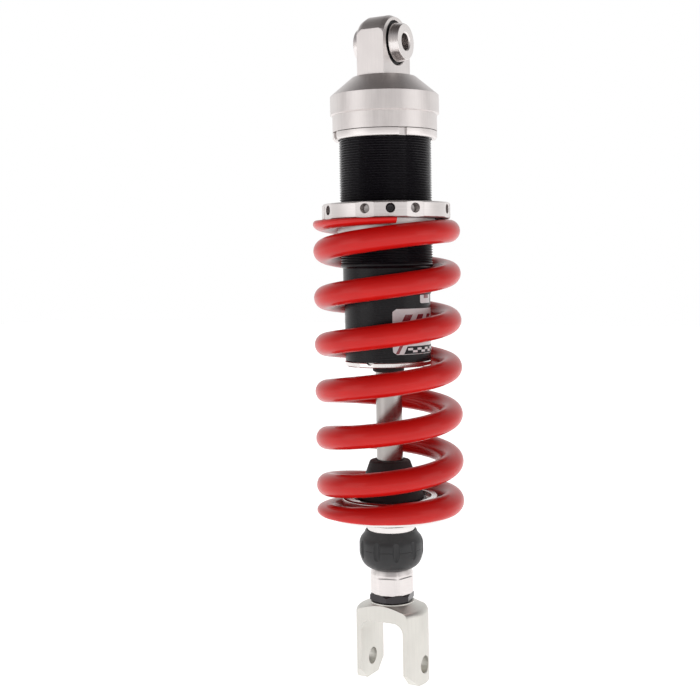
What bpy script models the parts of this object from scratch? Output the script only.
"""Motorcycle rear shock absorber: monotube damper, coil spring, eye at the top and clevis at the bottom.

The origin is the centre of the top eye. The bolt's axis is X, and the damper hangs from it down -Z,
so the origin lies on the axis of every joint. All the lengths below are in millimetres.
"""
import math

import bmesh
import bpy
from mathutils import Matrix

MM = 0.001
GAP = 0.3                       # between pieces that touch

# driving dimensions
EYE_TO_CLEVIS = 375.0           # between the two bolts' axes
BOLT_HOLE_RADIUS = 5.05
SLOT_WIDTH = 28.0               # clevis
TUBE_BORE_RADIUS = 23.0
TUBE_THREAD_RADIUS = 28.1
ROD_RADIUS = 8.0
STROKE = 52.0
WIRE_RADIUS = 7.0
COIL_RADIUS = 37.8              # from the axis to the wire's centre
COIL_PITCH = 28.4
CLOSED_PITCH = 7.4              # at the closed ends of the spring
SPRING_TOP = -107.05
SPRING_LENGTH = 177.55

# heights of the main joints between pieces
HEAD_BOTTOM = -53.9
TUBE_TOP = -40.3
TUBE_BOTTOM = -192.3
SPRING_BOTTOM = SPRING_TOP - SPRING_LENGTH
RING_HEIGHT = 9.55
SHOULDER = -150.0               # where the rod steps down to its piston spigot
GUIDE_TOP = -160.0
KNOB_TOP = -295.6
KNOB_BOTTOM = -318.5
NUT_TOP = -334.0
CLEVIS_TOP = -338.6
PIN_HEIGHT = -EYE_TO_CLEVIS
EAR_BOTTOM = -386.3

SEGMENTS = 20
FINE_SEGMENTS = 32


def clear_scene():
    for obj in list(bpy.data.objects):
        bpy.data.objects.remove(obj)


def make_material(name, color, roughness, metallic):
    material = bpy.data.materials.new(name)
    material.use_nodes = True
    shader = material.node_tree.nodes["Principled BSDF"]
    shader.inputs["Base Color"].default_value = (*color, 1.0)
    shader.inputs["Roughness"].default_value = roughness
    shader.inputs["Metallic"].default_value = metallic
    return material


def make_materials():
    return {
        "aluminium": make_material("aluminium", (0.78, 0.77, 0.75), 0.35, 1.0),
        "red_paint": make_material("red_paint", (0.52, 0.02, 0.02), 0.25, 0.0),
        "black_anodised": make_material("black_anodised", (0.03, 0.03, 0.035), 0.4, 0.6),
        "chrome": make_material("chrome", (0.75, 0.76, 0.78), 0.08, 1.0),
        "steel": make_material("steel", (0.6, 0.59, 0.57), 0.3, 1.0),
        "black_steel": make_material("black_steel", (0.02, 0.015, 0.015), 0.4, 0.5),
        "rubber": make_material("rubber", (0.02, 0.02, 0.02), 0.8, 0.0),
        "knob_plastic": make_material("knob_plastic", (0.05, 0.05, 0.055), 0.5, 0.0),
        "bronze": make_material("bronze", (0.5, 0.33, 0.15), 0.35, 1.0),
    }


def add_object(name, mesh, material, is_cutter=False):
    obj = bpy.data.objects.new(name, mesh)
    bpy.context.collection.objects.link(obj)
    if is_cutter:
        obj.hide_render = True
        obj.display_type = "WIRE"
    else:
        mesh.materials.append(material)
        mesh.shade_smooth()
        mesh.set_sharp_from_angle(angle=math.radians(30))
    return obj


def mesh_from(name, bm):
    bmesh.ops.recalc_face_normals(bm, faces=bm.faces)
    mesh = bpy.data.meshes.new(name)
    bm.to_mesh(mesh)
    bm.free()
    return mesh


def compass(degrees):
    """A horizontal direction: 0 is -Y, the front, and 90 is +X, the right."""
    angle = math.radians(degrees)
    return math.sin(angle), -math.cos(angle)


def turned_mesh(name, outline, segments=SEGMENTS, start=0.0):
    """A lathe's work about Z: outline is a closed list of (radius, height), in millimetres."""
    bm = bmesh.new()
    rings = []
    for radius, height in outline:
        if radius == 0.0:
            rings.append([bm.verts.new((0.0, 0.0, height * MM))] * segments)
            continue
        ring = []
        for step in range(segments):
            x, y = compass(start + 360.0 * step / segments)
            ring.append(bm.verts.new((radius * x * MM, radius * y * MM, height * MM)))
        rings.append(ring)
    for index, ring in enumerate(rings):
        below = rings[(index + 1) % len(rings)]
        for step in range(segments):
            after = (step + 1) % segments
            corners = [ring[step], ring[after], below[after], below[step]]
            distinct = list(dict.fromkeys(corners))
            if len(distinct) > 2:
                bm.faces.new(distinct)
    return mesh_from(name, bm)


def turned(name, outline, material, segments=SEGMENTS, start=0.0):
    return add_object(name, turned_mesh(name, outline, segments, start), material)


def tube_outline(outer, inner, top, bottom):
    return [(inner, top), (outer, top), (outer, bottom), (inner, bottom)]


def cutter_cylinder(name, radius, low, high, place, segments=16):
    """A cylinder along Z from low to high, then moved by the matrix place."""
    outline = [(0.0, high), (radius, high), (radius, low), (0.0, low)]
    mesh = turned_mesh(name, outline, segments)
    mesh.transform(place)
    return add_object(name, mesh, None, is_cutter=True)


def cutter_box(name, low, high):
    bm = bmesh.new()
    bmesh.ops.create_cube(bm, size=1.0)
    for vert in bm.verts:
        for axis in range(3):
            vert.co[axis] = (high[axis] if vert.co[axis] > 0 else low[axis]) * MM
    return add_object(name, mesh_from(name, bm), None, is_cutter=True)


def radial_place(azimuth, height):
    """Turns +Z outwards at this azimuth, at this height."""
    x, y = compass(azimuth)
    outward = Matrix(((-y, 0.0, x, 0.0), (x, 0.0, y, 0.0), (0.0, 1.0, 0.0, height * MM), (0.0, 0.0, 0.0, 1.0)))
    return outward


def along_x():
    """Turns +Z to +X."""
    return Matrix.Rotation(math.radians(90), 4, "Y")


def arc_points(center, radius, start, end, count):
    """count points on an arc, as (across, height), from start to end in degrees."""
    points = []
    for index in range(count):
        angle = math.radians(start + (end - start) * index / (count - 1))
        points.append((center[0] + radius * math.cos(angle), center[1] + radius * math.sin(angle)))
    return points


def extruded_cutter(name, outline, half_length, along):
    """An outline of (across, height) points, extruded both ways along X or Y."""
    bm = bmesh.new()
    ends = []
    for side in (-half_length, half_length):
        end = []
        for across, height in outline:
            place = (side, across, height) if along == "X" else (across, side, height)
            end.append(bm.verts.new([value * MM for value in place]))
        ends.append(end)
        bm.faces.new(end)
    for index in range(len(outline)):
        after = (index + 1) % len(outline)
        bm.faces.new((ends[0][index], ends[0][after], ends[1][after], ends[1][index]))
    return add_object(name, mesh_from(name, bm), None, is_cutter=True)


def boolean(obj, other, operation):
    modifier = obj.modifiers.new(f"{operation.lower()}_{other.name}", "BOOLEAN")
    modifier.operation = operation
    modifier.object = other


def cut(obj, *cutters):
    for other in cutters:
        boolean(obj, other, "DIFFERENCE")


# --- the top eye -----------------------------------------------------------------------------------

EYE_CROWN_RADIUS = 20.0         # of its top, about a line below the bolt
EYE_CROWN_CENTER = -3.3
EYE_HALF_WIDTH = 17.4           # between the block's flat sides
EYE_HALF_THICKNESS = 9.0        # along the bolt
EYE_BORE_RADIUS = 13.5


def eye_outline():
    """The eye seen along the bolt: flat sides, and a crowned top."""
    corner = math.degrees(math.acos(EYE_HALF_WIDTH / EYE_CROWN_RADIUS))
    top = arc_points((0.0, EYE_CROWN_CENTER), EYE_CROWN_RADIUS, 180.0 - corner, corner, 13)
    return [(-EYE_HALF_WIDTH, -25.0), *top, (EYE_HALF_WIDTH, -25.0)]


def cylinder_head(materials):
    outline = [
        (0.0, -20.7), (19.8, -20.7), (33.2, -32.1), (33.2, -43.4), (31.9, -44.0), (31.9, HEAD_BOTTOM),
        (TUBE_THREAD_RADIUS + GAP, HEAD_BOTTOM), (TUBE_THREAD_RADIUS + GAP, TUBE_TOP + GAP),
        (0.0, TUBE_TOP + GAP),
    ]
    head = turned("cylinder_head", outline, materials["aluminium"], FINE_SEGMENTS)
    boolean(head, extruded_cutter("eye_block", eye_outline(), EYE_HALF_THICKNESS, "X"), "UNION")
    bore = EYE_BORE_RADIUS
    groove = 14.3
    bore_outline = [
        (0.0, 20.0), (bore, 20.0), (bore, 7.2), (groove, 7.2), (groove, 5.7), (bore, 5.7),
        (bore, -5.7), (groove, -5.7), (groove, -7.2), (bore, -7.2), (bore, -20.0), (0.0, -20.0),
    ]
    bore_mesh = turned_mesh("eye_bore", bore_outline)
    bore_mesh.transform(along_x())
    cut(head, add_object("eye_bore", bore_mesh, None, is_cutter=True))
    gas_port = [
        cutter_cylinder("plug_hole", 4.2, 24.0, 40.0, radial_place(180.0, -36.0)),
        cutter_cylinder("gas_passage", 1.5, -2.0, 26.0, radial_place(180.0, -36.0), 8),
        cutter_cylinder("gas_drop", 1.5, -45.0, -36.0, Matrix.Identity(4), 8),
    ]
    cut(head, *gas_port)


def gas_plug(materials):
    outline = [
        (0.0, 28.0), (2.0, 28.0), (2.0, 32.0), (3.9, 32.0), (3.9, 24.3), (0.0, 24.3),
    ]
    mesh = turned_mesh("gas_plug", outline, 12)
    mesh.transform(radial_place(180.0, -36.0))
    add_object("gas_plug", mesh, materials["steel"])


def turned_on_bolt(name, outline, material, mirrored=False, segments=SEGMENTS):
    """A lathe's work about the bolt's axis: outline's heights are distances along +X, or -X if mirrored."""
    mesh = turned_mesh(name, outline, segments)
    mesh.transform(along_x())
    if mirrored:
        mesh.transform(Matrix.Rotation(math.pi, 4, "Z"))
    add_object(name, mesh, material)


BALL_RADIUS = 10.3
BALL_HALF_WIDTH = 7.0
BALL_BORE_RADIUS = 6.5
RACE_HALF_WIDTH = 5.4


def sphere_points(radius, half_width, count=7):
    """Points along a sphere's side, from +half_width down to -half_width."""
    reach = math.asin(half_width / radius)
    angles = [reach * (1.0 - 2.0 * step / (count - 1)) for step in range(count)]
    return [(radius * math.cos(angle), radius * math.sin(angle)) for angle in angles]


def spherical_bearing(materials):
    seat = sphere_points(BALL_RADIUS + GAP, RACE_HALF_WIDTH)
    race_outer = EYE_BORE_RADIUS - GAP
    race = [(race_outer, -RACE_HALF_WIDTH), (race_outer, RACE_HALF_WIDTH), *seat]
    turned_on_bolt("bearing_outer_race", race, materials["steel"])
    side = sphere_points(BALL_RADIUS, BALL_HALF_WIDTH)
    ball = [(BALL_BORE_RADIUS, -BALL_HALF_WIDTH), (BALL_BORE_RADIUS, BALL_HALF_WIDTH), *side]
    turned_on_bolt("bearing_ball", ball, materials["chrome"])
    for side_name, mirrored in (("right", False), ("left", True)):
        turned_on_bolt(f"bearing_circlip_{side_name}", tube_outline(14.0, 11.6, 6.9, 6.0),
                       materials["black_steel"], mirrored)
        turned_on_bolt(f"dust_seal_{side_name}", tube_outline(13.2, 7.7, 7.9, 7.2),
                       materials["rubber"], mirrored)
        spacer = [
            (BOLT_HOLE_RADIUS, 0.5), (6.2, 0.5), (6.2, 8.4), (11.0, 8.9), (11.9, 9.5), (11.7, 10.6),
            (10.9, 15.1), (10.7, 15.4),
            (BOLT_HOLE_RADIUS + 0.4, 15.4), (BOLT_HOLE_RADIUS, 15.0),
        ]
        turned_on_bolt(f"eye_spacer_{side_name}", spacer, materials["aluminium"], mirrored)


# --- the damper ------------------------------------------------------------------------------------

def head_lock_ring(materials):
    outline = [
        (28.5, HEAD_BOTTOM - GAP), (31.8, HEAD_BOTTOM - GAP), (31.8, -57.9), (31.0, -58.7), (28.5, -58.7),
    ]
    ring = turned("head_lock_ring", outline, materials["aluminium"], FINE_SEGMENTS)
    for index in range(4):
        notch = cutter_box(f"spanner_notch_{index}", (-2.2, -36.0, -65.0), (2.2, -30.3, -50.0))
        notch.data.transform(Matrix.Rotation(math.radians(47.7 + 90.0 * index), 4, "Z"))
        cut(ring, notch)


def damper_tube(materials):
    bore = TUBE_BORE_RADIUS
    groove_top = -184.1
    groove_bottom = -186.5
    outline = [
        (bore, TUBE_TOP), (TUBE_THREAD_RADIUS, TUBE_TOP), (TUBE_THREAD_RADIUS, -135.6), (26.8, -136.5),
        (26.8, -152.0), (26.1, -152.7), (26.1, TUBE_BOTTOM), (bore, TUBE_BOTTOM),
        (bore, groove_bottom), (24.2, groove_bottom), (24.2, groove_top), (bore, groove_top),
    ]
    turned("damper_tube", outline, materials["black_anodised"], FINE_SEGMENTS)


def floating_piston(materials):
    outer = TUBE_BORE_RADIUS - GAP
    outline = [
        (0.0, -63.0), (17.5, -63.0), (17.5, -56.0), (outer, -56.0), (outer, -60.0), (20.6, -60.0),
        (20.6, -63.4), (outer, -63.4), (outer, -68.0), (0.0, -68.0),
    ]
    turned("floating_piston", outline, materials["aluminium"])
    turned("floating_piston_seal", tube_outline(outer, 20.9, -60.3, -63.1), materials["rubber"])


def rod_guide(materials):
    outer = TUBE_BORE_RADIUS - GAP
    guide = [
        (8.5, GUIDE_TOP), (20.5, GUIDE_TOP), (outer, GUIDE_TOP - 2.0), (outer, -166.0), (20.8, -166.0),
        (20.8, -169.4), (outer, -169.4), (outer, -184.0), (13.2, -184.0), (13.2, -178.0), (8.5, -178.0),
        (8.5, -175.0), (9.9, -175.0), (9.9, -163.0), (8.5, -163.0),
    ]
    turned("rod_guide", guide, materials["aluminium"])
    turned("guide_o_ring", tube_outline(outer, 21.1, -166.3, -169.1), materials["rubber"])
    turned("guide_bush", tube_outline(9.6, 8.4, -163.3, -174.7), materials["bronze"], 24)
    turned("oil_seal", tube_outline(12.9, 8.4, -178.3, -183.7), materials["rubber"], 24)
    ring = turned("retaining_ring", tube_outline(23.9, 21.4, -184.4, -186.2), materials["steel"])
    cut(ring, cutter_box("retaining_ring_gap", (-3.0, 15.0, -190.0), (3.0, 30.0, -180.0)))


def end_cap(materials):
    outline = [
        (10.2, -187.0), (22.6, -187.0), (22.6, TUBE_BOTTOM - GAP), (26.0, TUBE_BOTTOM - GAP),
        (26.4, TUBE_BOTTOM - 0.7), (26.4, -195.2), (26.0, -195.6), (10.2, -195.6),
    ]
    cap = turned("end_cap", outline, materials["aluminium"], FINE_SEGMENTS)
    for azimuth in (1.0, 181.0):
        notch = cutter_box(f"cap_notch_{azimuth:.0f}", (-1.5, -30.0, -193.8), (1.5, -24.5, -190.0))
        notch.data.transform(Matrix.Rotation(math.radians(azimuth), 4, "Z"))
        cut(cap, notch)
    wiper = [(8.4, -187.3), (9.9, -187.3), (9.9, -198.9), (9.2, -199.6), (8.4, -199.6)]
    turned("dust_wiper", wiper, materials["rubber"], 24)


# --- the spring and its seats ----------------------------------------------------------------------

CLOSED_TURNS_TOP = 0.908        # up to the middle of the change of pitch
CLOSED_TURNS_BOTTOM = 0.83
PITCH_CHANGE_TURNS = 0.26
TAPER_TURNS_TOP = 0.8           # the wire is rolled thinner towards its tips
TAPER_TURNS_BOTTOM = 0.42
TAPER_DEPTH = 5.1
TIP_DEPTH = 1.84                # of the wire's centre below the ground face, at its tip
TIP_AZIMUTH = 36.0              # of the top tip
WIRE_SIDES = 8
RINGS_PER_TURN = 16


def eased_turns(turns, closed_turns):
    """The integral of a step from 0 to 1 at closed_turns that is eased over PITCH_CHANGE_TURNS."""
    start = closed_turns - PITCH_CHANGE_TURNS / 2.0
    share = min(max((turns - start) / PITCH_CHANGE_TURNS, 0.0), 1.0)
    eased = PITCH_CHANGE_TURNS * (share ** 3 - share ** 4 / 2.0)
    return eased + max(turns - start - PITCH_CHANGE_TURNS, 0.0)


def spring_turns():
    """How many turns the wire makes between its two tips."""
    closed = CLOSED_TURNS_TOP + CLOSED_TURNS_BOTTOM
    active_rise = SPRING_LENGTH - 2.0 * TIP_DEPTH - CLOSED_PITCH * closed
    return active_rise / COIL_PITCH + closed


def end_depth(turns, closed_turns):
    """Depth of the wire's centre from the ground face of its end, this many turns from its tip."""
    return TIP_DEPTH + CLOSED_PITCH * turns + (COIL_PITCH - CLOSED_PITCH) * eased_turns(turns, closed_turns)


def wire_thinning(turns, taper_turns):
    """How much thinner the wire is, this many turns from its tip."""
    return TAPER_DEPTH * max(1.0 - (turns / taper_turns) ** 1.6, 0.0)


def wire_section(to_face, thinning, below):
    """The wire's section as (outward, upward) points: ground flat at to_face above it, or below it."""
    least = math.pi / WIRE_SIDES
    half_cut = least
    if to_face < WIRE_RADIUS:
        half_cut = max(least, math.acos(to_face / WIRE_RADIUS))
    thickness = min(to_face, WIRE_RADIUS) + WIRE_RADIUS
    points = []
    for index in range(WIRE_SIDES):
        angle = half_cut + index * (2.0 * math.pi - 2.0 * half_cut) / (WIRE_SIDES - 1)
        up = WIRE_RADIUS * math.cos(angle)
        up += thinning * (min(to_face, WIRE_RADIUS) - up) / thickness
        points.append((WIRE_RADIUS * math.sin(angle), up))
    if below:
        points = [(-out, -up) for out, up in points]
        half = WIRE_SIDES // 2
        points = points[half:] + points[:half]
    return points


def coil_spring(materials):
    total = spring_turns()
    steps = round(total * RINGS_PER_TURN)
    bm = bmesh.new()
    rings = []
    for step in range(steps + 1):
        turns = total * step / steps
        below = turns > total / 2.0
        left = max(total - turns, 0.0)
        if below:
            to_face = end_depth(left, CLOSED_TURNS_BOTTOM)
            thinning = wire_thinning(left, TAPER_TURNS_BOTTOM)
            depth = SPRING_LENGTH - to_face
        else:
            to_face = end_depth(turns, CLOSED_TURNS_TOP)
            thinning = wire_thinning(turns, TAPER_TURNS_TOP)
            depth = to_face
        x, y = compass(TIP_AZIMUTH - 360.0 * turns)
        ring = []
        for out, up in wire_section(to_face - GAP, thinning, below):
            radius = COIL_RADIUS + out
            ring.append(bm.verts.new((radius * x * MM, radius * y * MM, (SPRING_TOP - depth + up) * MM)))
        rings.append(ring)
    for upper, lower in zip(rings, rings[1:]):
        for index in range(WIRE_SIDES):
            after = (index + 1) % WIRE_SIDES
            bm.faces.new((upper[index], upper[after], lower[after], lower[index]))
    bm.faces.new(rings[0])
    bm.faces.new(rings[-1])
    add_object("coil_spring", mesh_from("coil_spring", bm), materials["red_paint"])


FIRST_TOMMY_HOLE = 9.3
LOCKING_SCREW_AZIMUTH = 31.8


def preload_ring(materials):
    top = SPRING_TOP + RING_HEIGHT
    outline = [
        (28.5, top), (38.3, top), (39.1, top - 0.8), (39.1, SPRING_TOP + 0.6), (38.5, SPRING_TOP),
        (33.3, SPRING_TOP), (33.3, SPRING_TOP + 2.9), (28.5, SPRING_TOP + 2.9),
    ]
    ring = turned("preload_ring", outline, materials["aluminium"], FINE_SEGMENTS)
    middle = SPRING_TOP + RING_HEIGHT / 2.0 + 0.6
    for index in range(8):
        azimuth = FIRST_TOMMY_HOLE + 45.0 * index
        flat = cutter_box(f"ring_flat_{index}", (-5.5, -45.0, SPRING_TOP - 2.0), (5.5, -38.6, top + 2.0))
        flat.data.transform(Matrix.Rotation(math.radians(azimuth), 4, "Z"))
        hole = cutter_cylinder(f"tommy_hole_{index}", 2.95, 31.0, 45.0, radial_place(azimuth, middle), 12)
        cut(ring, flat, hole)
    screw_hole = cutter_cylinder(
        "locking_screw_hole", 2.6, 20.0, 45.0, radial_place(LOCKING_SCREW_AZIMUTH, middle), 12)
    cut(ring, screw_hole)
    screw_outline = [(0.0, 34.0), (1.3, 34.0), (1.3, 36.5), (2.3, 36.5), (2.3, 31.3), (0.0, 31.3)]
    screw_mesh = turned_mesh("locking_screw", screw_outline, 12)
    screw_mesh.transform(radial_place(LOCKING_SCREW_AZIMUTH, middle))
    add_object("locking_screw", screw_mesh, materials["black_steel"])
    pad_mesh = turned_mesh("locking_pad", [(0.0, 31.0), (2.3, 31.0), (2.3, 28.7), (0.0, 28.7)], 12)
    pad_mesh.transform(radial_place(LOCKING_SCREW_AZIMUTH, middle))
    add_object("locking_pad", pad_mesh, materials["knob_plastic"])


def spring_spigot(materials):
    outline = [
        (28.6, SPRING_TOP + 2.6), (33.0, SPRING_TOP + 2.6), (33.0, SPRING_TOP), (29.8, SPRING_TOP),
        (29.8, SPRING_TOP - 8.5), (29.4, SPRING_TOP - 9.0), (28.6, SPRING_TOP - 9.0),
    ]
    turned("spring_spigot", outline, materials["aluminium"], FINE_SEGMENTS)


def lower_spring_collar(materials):
    bore = ROD_RADIUS + GAP
    outline = [
        (bore, -278.3), (25.0, -278.3), (25.0, -275.0), (28.4, -275.0), (29.2, -276.0),
        (29.2, SPRING_BOTTOM), (38.0, SPRING_BOTTOM), (38.0, SPRING_BOTTOM - 2.0), (18.0, -290.2),
        (14.4, -292.2), (14.4, -296.5), (bore, -296.5),
    ]
    turned("lower_spring_collar", outline, materials["aluminium"], FINE_SEGMENTS)


def hexagon_nut(name, top, bottom, bore, corner, azimuth, material):
    chamfer = 0.7
    outline = [
        (0.0, top), (corner - chamfer, top), (corner, top - 0.5), (corner, bottom + 0.5),
        (corner - chamfer, bottom), (0.0, bottom),
    ]
    nut = turned(name, outline, material, 6, azimuth)
    place = Matrix.Translation((0.0, 0.0, top * MM))
    cut(nut, cutter_cylinder(f"{name}_bore", bore, -20.0, 10.0, place, SEGMENTS))


# --- the rod and its pieces ------------------------------------------------------------------------

def piston_rod(materials):
    outline = [
        (2.6, -124.0), (4.6, -124.0), (5.0, -124.4), (5.0, SHOULDER), (ROD_RADIUS, SHOULDER),
        (ROD_RADIUS, -305.9), (2.6, -305.9),
    ]
    turned("piston_rod", outline, materials["chrome"])


def shim_stack(name, first_height, step, material):
    """Three steps of shims, the widest first, each step 0.9 mm thick."""
    bore = 5.3
    outline = [(bore, first_height)]
    for index, radius in enumerate((18.5, 15.0, 11.5)):
        outline.append((radius, first_height + step * index * 0.9))
        outline.append((radius, first_height + step * (index + 1) * 0.9))
    outline.append((bore, first_height + step * 2.7))
    turned(name, outline, material)


def damping_piston(materials):
    top, bottom = -134.5, -146.7
    outer = TUBE_BORE_RADIUS - GAP
    outline = [
        (5.3, top), (20.0, top), (22.0, top - 0.8), (outer, top - 1.6), (outer, -137.0), (21.4, -137.0),
        (21.4, -144.2), (outer, -144.2), (outer, bottom + 1.6), (22.0, bottom + 0.8), (20.0, bottom),
        (5.3, bottom),
    ]
    piston = turned("damping_piston", outline, materials["aluminium"])
    for index in range(6):
        x, y = compass(7.0 + 60.0 * index)
        place = Matrix.Translation((12.5 * x * MM, 12.5 * y * MM, 0.0))
        cut(piston, cutter_cylinder(f"piston_port_{index}", 2.4, -150.0, -130.0, place, 8))
    turned("piston_band", tube_outline(outer, 21.7, -137.3, -143.9), materials["bronze"])
    shim_stack("compression_shims", top + GAP, 1.0, materials["steel"])
    shim_stack("rebound_shims", bottom - GAP, -1.0, materials["steel"])
    nut_bottom = top + 3.3
    hexagon_nut("piston_nut", nut_bottom + 6.0, nut_bottom, 5.3, 9.2, 0.0, materials["steel"])
    bumper = [(8.4, -150.4), (13.0, -150.4), (15.5, -152.5), (15.5, -157.6), (13.0, -159.7), (8.4, -159.7)]
    turned("top_out_bumper", bumper, materials["rubber"], 24)


def bump_stop(materials):
    bore = ROD_RADIUS + GAP
    outline = [
        (bore, -253.4), (11.9, -253.4), (12.6, -254.2), (20.4, -275.0), (20.4, -276.0), (bore, -276.0),
    ]
    turned("bump_stop", outline, materials["rubber"], 24)
    cup = [(bore, -276.3), (21.4, -276.3), (22.0, -276.9), (22.0, -278.0), (bore, -278.0)]
    turned("bump_cup", cup, materials["knob_plastic"], 24)


# --- the adjusters and the clevis ------------------------------------------------------------------

STUD_RADIUS = 7.0
SPIGOT_RADIUS = 9.2
SLEEVE_RADIUS = 12.95
SLEEVE_FLAT_AZIMUTH = 14.0
NUT_CORNER_AZIMUTH = 12.5
KNOB_GROOVE_AZIMUTH = 36.5
HEXAGON_ACROSS_FLATS = 24.0


def hexagon_corner():
    return HEXAGON_ACROSS_FLATS / 2.0 / math.cos(math.radians(30.0))


def adjuster_body(materials):
    spigot_bottom = -326.0
    rod_bore = ROD_RADIUS + GAP
    stud_bore = STUD_RADIUS + GAP
    outline = [
        (rod_bore, -296.8), (11.7, -296.8), (11.7, KNOB_BOTTOM), (SPIGOT_RADIUS, KNOB_BOTTOM),
        (SPIGOT_RADIUS, spigot_bottom), (stud_bore, spigot_bottom), (stud_bore, -306.2), (rod_bore, -306.2),
    ]
    turned("adjuster_body", outline, materials["steel"])


def rebound_knob(materials):
    lobes = 10
    outline = [
        (15.7, KNOB_TOP), (16.0, KNOB_TOP - 1.6), (18.4, KNOB_TOP - 4.4), (19.4, KNOB_TOP - 7.5),
        (19.4, KNOB_TOP - 13.5), (18.2, KNOB_TOP - 18.0), (15.6, KNOB_BOTTOM + 1.4), (14.0, KNOB_BOTTOM),
        (12.2, KNOB_BOTTOM), (12.2, -296.9), (14.7, -296.9), (14.7, KNOB_TOP),
    ]
    knob = turned("rebound_knob", outline, materials["knob_plastic"])
    for index in range(lobes):
        x, y = compass(KNOB_GROOVE_AZIMUTH + 360.0 * index / lobes)
        place = Matrix.Translation((21.3 * x * MM, 21.3 * y * MM, 0.0))
        cut(knob, cutter_cylinder(f"knob_groove_{index}", 2.6, -325.0, -290.0, place, 8))


def rebound_needle(materials):
    turned("rebound_needle", [(0.0, -133.0), (2.2, -138.0), (2.2, -300.0), (0.0, -300.0)],
           materials["steel"], 8)


def length_sleeve(materials):
    bottom = NUT_TOP + GAP
    stud_bore = STUD_RADIUS + GAP
    outline = [
        (9.5, -318.8), (11.9, -318.8), (SLEEVE_RADIUS, -321.5), (SLEEVE_RADIUS, bottom + 0.5),
        (12.4, bottom), (stud_bore, bottom), (stud_bore, -326.3), (9.5, -326.3),
    ]
    sleeve = turned("length_sleeve", outline, materials["aluminium"], FINE_SEGMENTS)
    mesh = turned_mesh(
        "sleeve_flats", tube_outline(20.0, hexagon_corner(), -322.6, -340.0), 6,
        SLEEVE_FLAT_AZIMUTH + 30.0)
    cut(sleeve, add_object("sleeve_flats", mesh, None, is_cutter=True))


def lock_nut(materials):
    hexagon_nut("lock_nut", NUT_TOP, CLEVIS_TOP + GAP, STUD_RADIUS + GAP, hexagon_corner(),
                NUT_CORNER_AZIMUTH, materials["black_steel"])


CLEVIS_RADIUS = 22.0
CLEVIS_HALF_DEPTH = 14.0        # between its front and back flats
BOSS_RADIUS = 13.4              # under the lock nut
BOSS_HEIGHT = 0.7
SHOULDER_DROP = 3.2             # of the top's slope, with the boss
SHOULDER_FILLET = 3.7
SLOT_TOP = -349.0
SLOT_CORNER = 6.0
EAR_CHAMFER = 7.0


def clevis_slot_outline():
    half = SLOT_WIDTH / 2.0
    corner = SLOT_CORNER
    left = arc_points((-half + corner, SLOT_TOP - corner), corner, 180.0, 90.0, 6)
    right = arc_points((half - corner, SLOT_TOP - corner), corner, 90.0, 0.0, 6)
    return [(-half, EAR_BOTTOM - 5.0), *left, *right, (half, EAR_BOTTOM - 5.0)]


def clevis_side_outline():
    """The fork seen along the bolt: what the flats and the chamfered ear ends leave."""
    half = CLEVIS_HALF_DEPTH
    top = CLEVIS_TOP + 60.0
    return [
        (-half, top), (-half, EAR_BOTTOM + EAR_CHAMFER), (-half + EAR_CHAMFER, EAR_BOTTOM),
        (half - EAR_CHAMFER, EAR_BOTTOM), (half, EAR_BOTTOM + EAR_CHAMFER), (half, top),
    ]


def lower_clevis(materials):
    fillet_center = (CLEVIS_RADIUS - SHOULDER_FILLET, CLEVIS_TOP - SHOULDER_DROP - SHOULDER_FILLET)
    fillet = arc_points(fillet_center, SHOULDER_FILLET, 90.0, 0.0, 5)
    outline = [
        (0.0, -308.0), (STUD_RADIUS - 0.8, -308.0), (STUD_RADIUS, -308.8), (STUD_RADIUS, CLEVIS_TOP),
        (BOSS_RADIUS, CLEVIS_TOP), (BOSS_RADIUS, CLEVIS_TOP - BOSS_HEIGHT), *fillet,
        (CLEVIS_RADIUS, EAR_BOTTOM - 1.0), (0.0, EAR_BOTTOM - 1.0),
    ]
    clevis = turned("lower_clevis", outline, materials["aluminium"], FINE_SEGMENTS)
    boolean(clevis, extruded_cutter("clevis_sides", clevis_side_outline(), 30.0, "X"), "INTERSECT")
    cut(clevis, extruded_cutter("clevis_slot", clevis_slot_outline(), 30.0, "Y"))
    pin_place = Matrix.Translation((0.0, 0.0, PIN_HEIGHT * MM)) @ along_x()
    cut(clevis, cutter_cylinder("clevis_bolt_hole", BOLT_HOLE_RADIUS, -30.0, 30.0, pin_place, 24))


def main():
    clear_scene()
    materials = make_materials()
    cylinder_head(materials)
    gas_plug(materials)
    spherical_bearing(materials)
    head_lock_ring(materials)
    damper_tube(materials)
    floating_piston(materials)
    rod_guide(materials)
    end_cap(materials)
    coil_spring(materials)
    preload_ring(materials)
    spring_spigot(materials)
    lower_spring_collar(materials)
    piston_rod(materials)
    damping_piston(materials)
    bump_stop(materials)
    adjuster_body(materials)
    rebound_knob(materials)
    rebound_needle(materials)
    length_sleeve(materials)
    lock_nut(materials)
    lower_clevis(materials)


main()
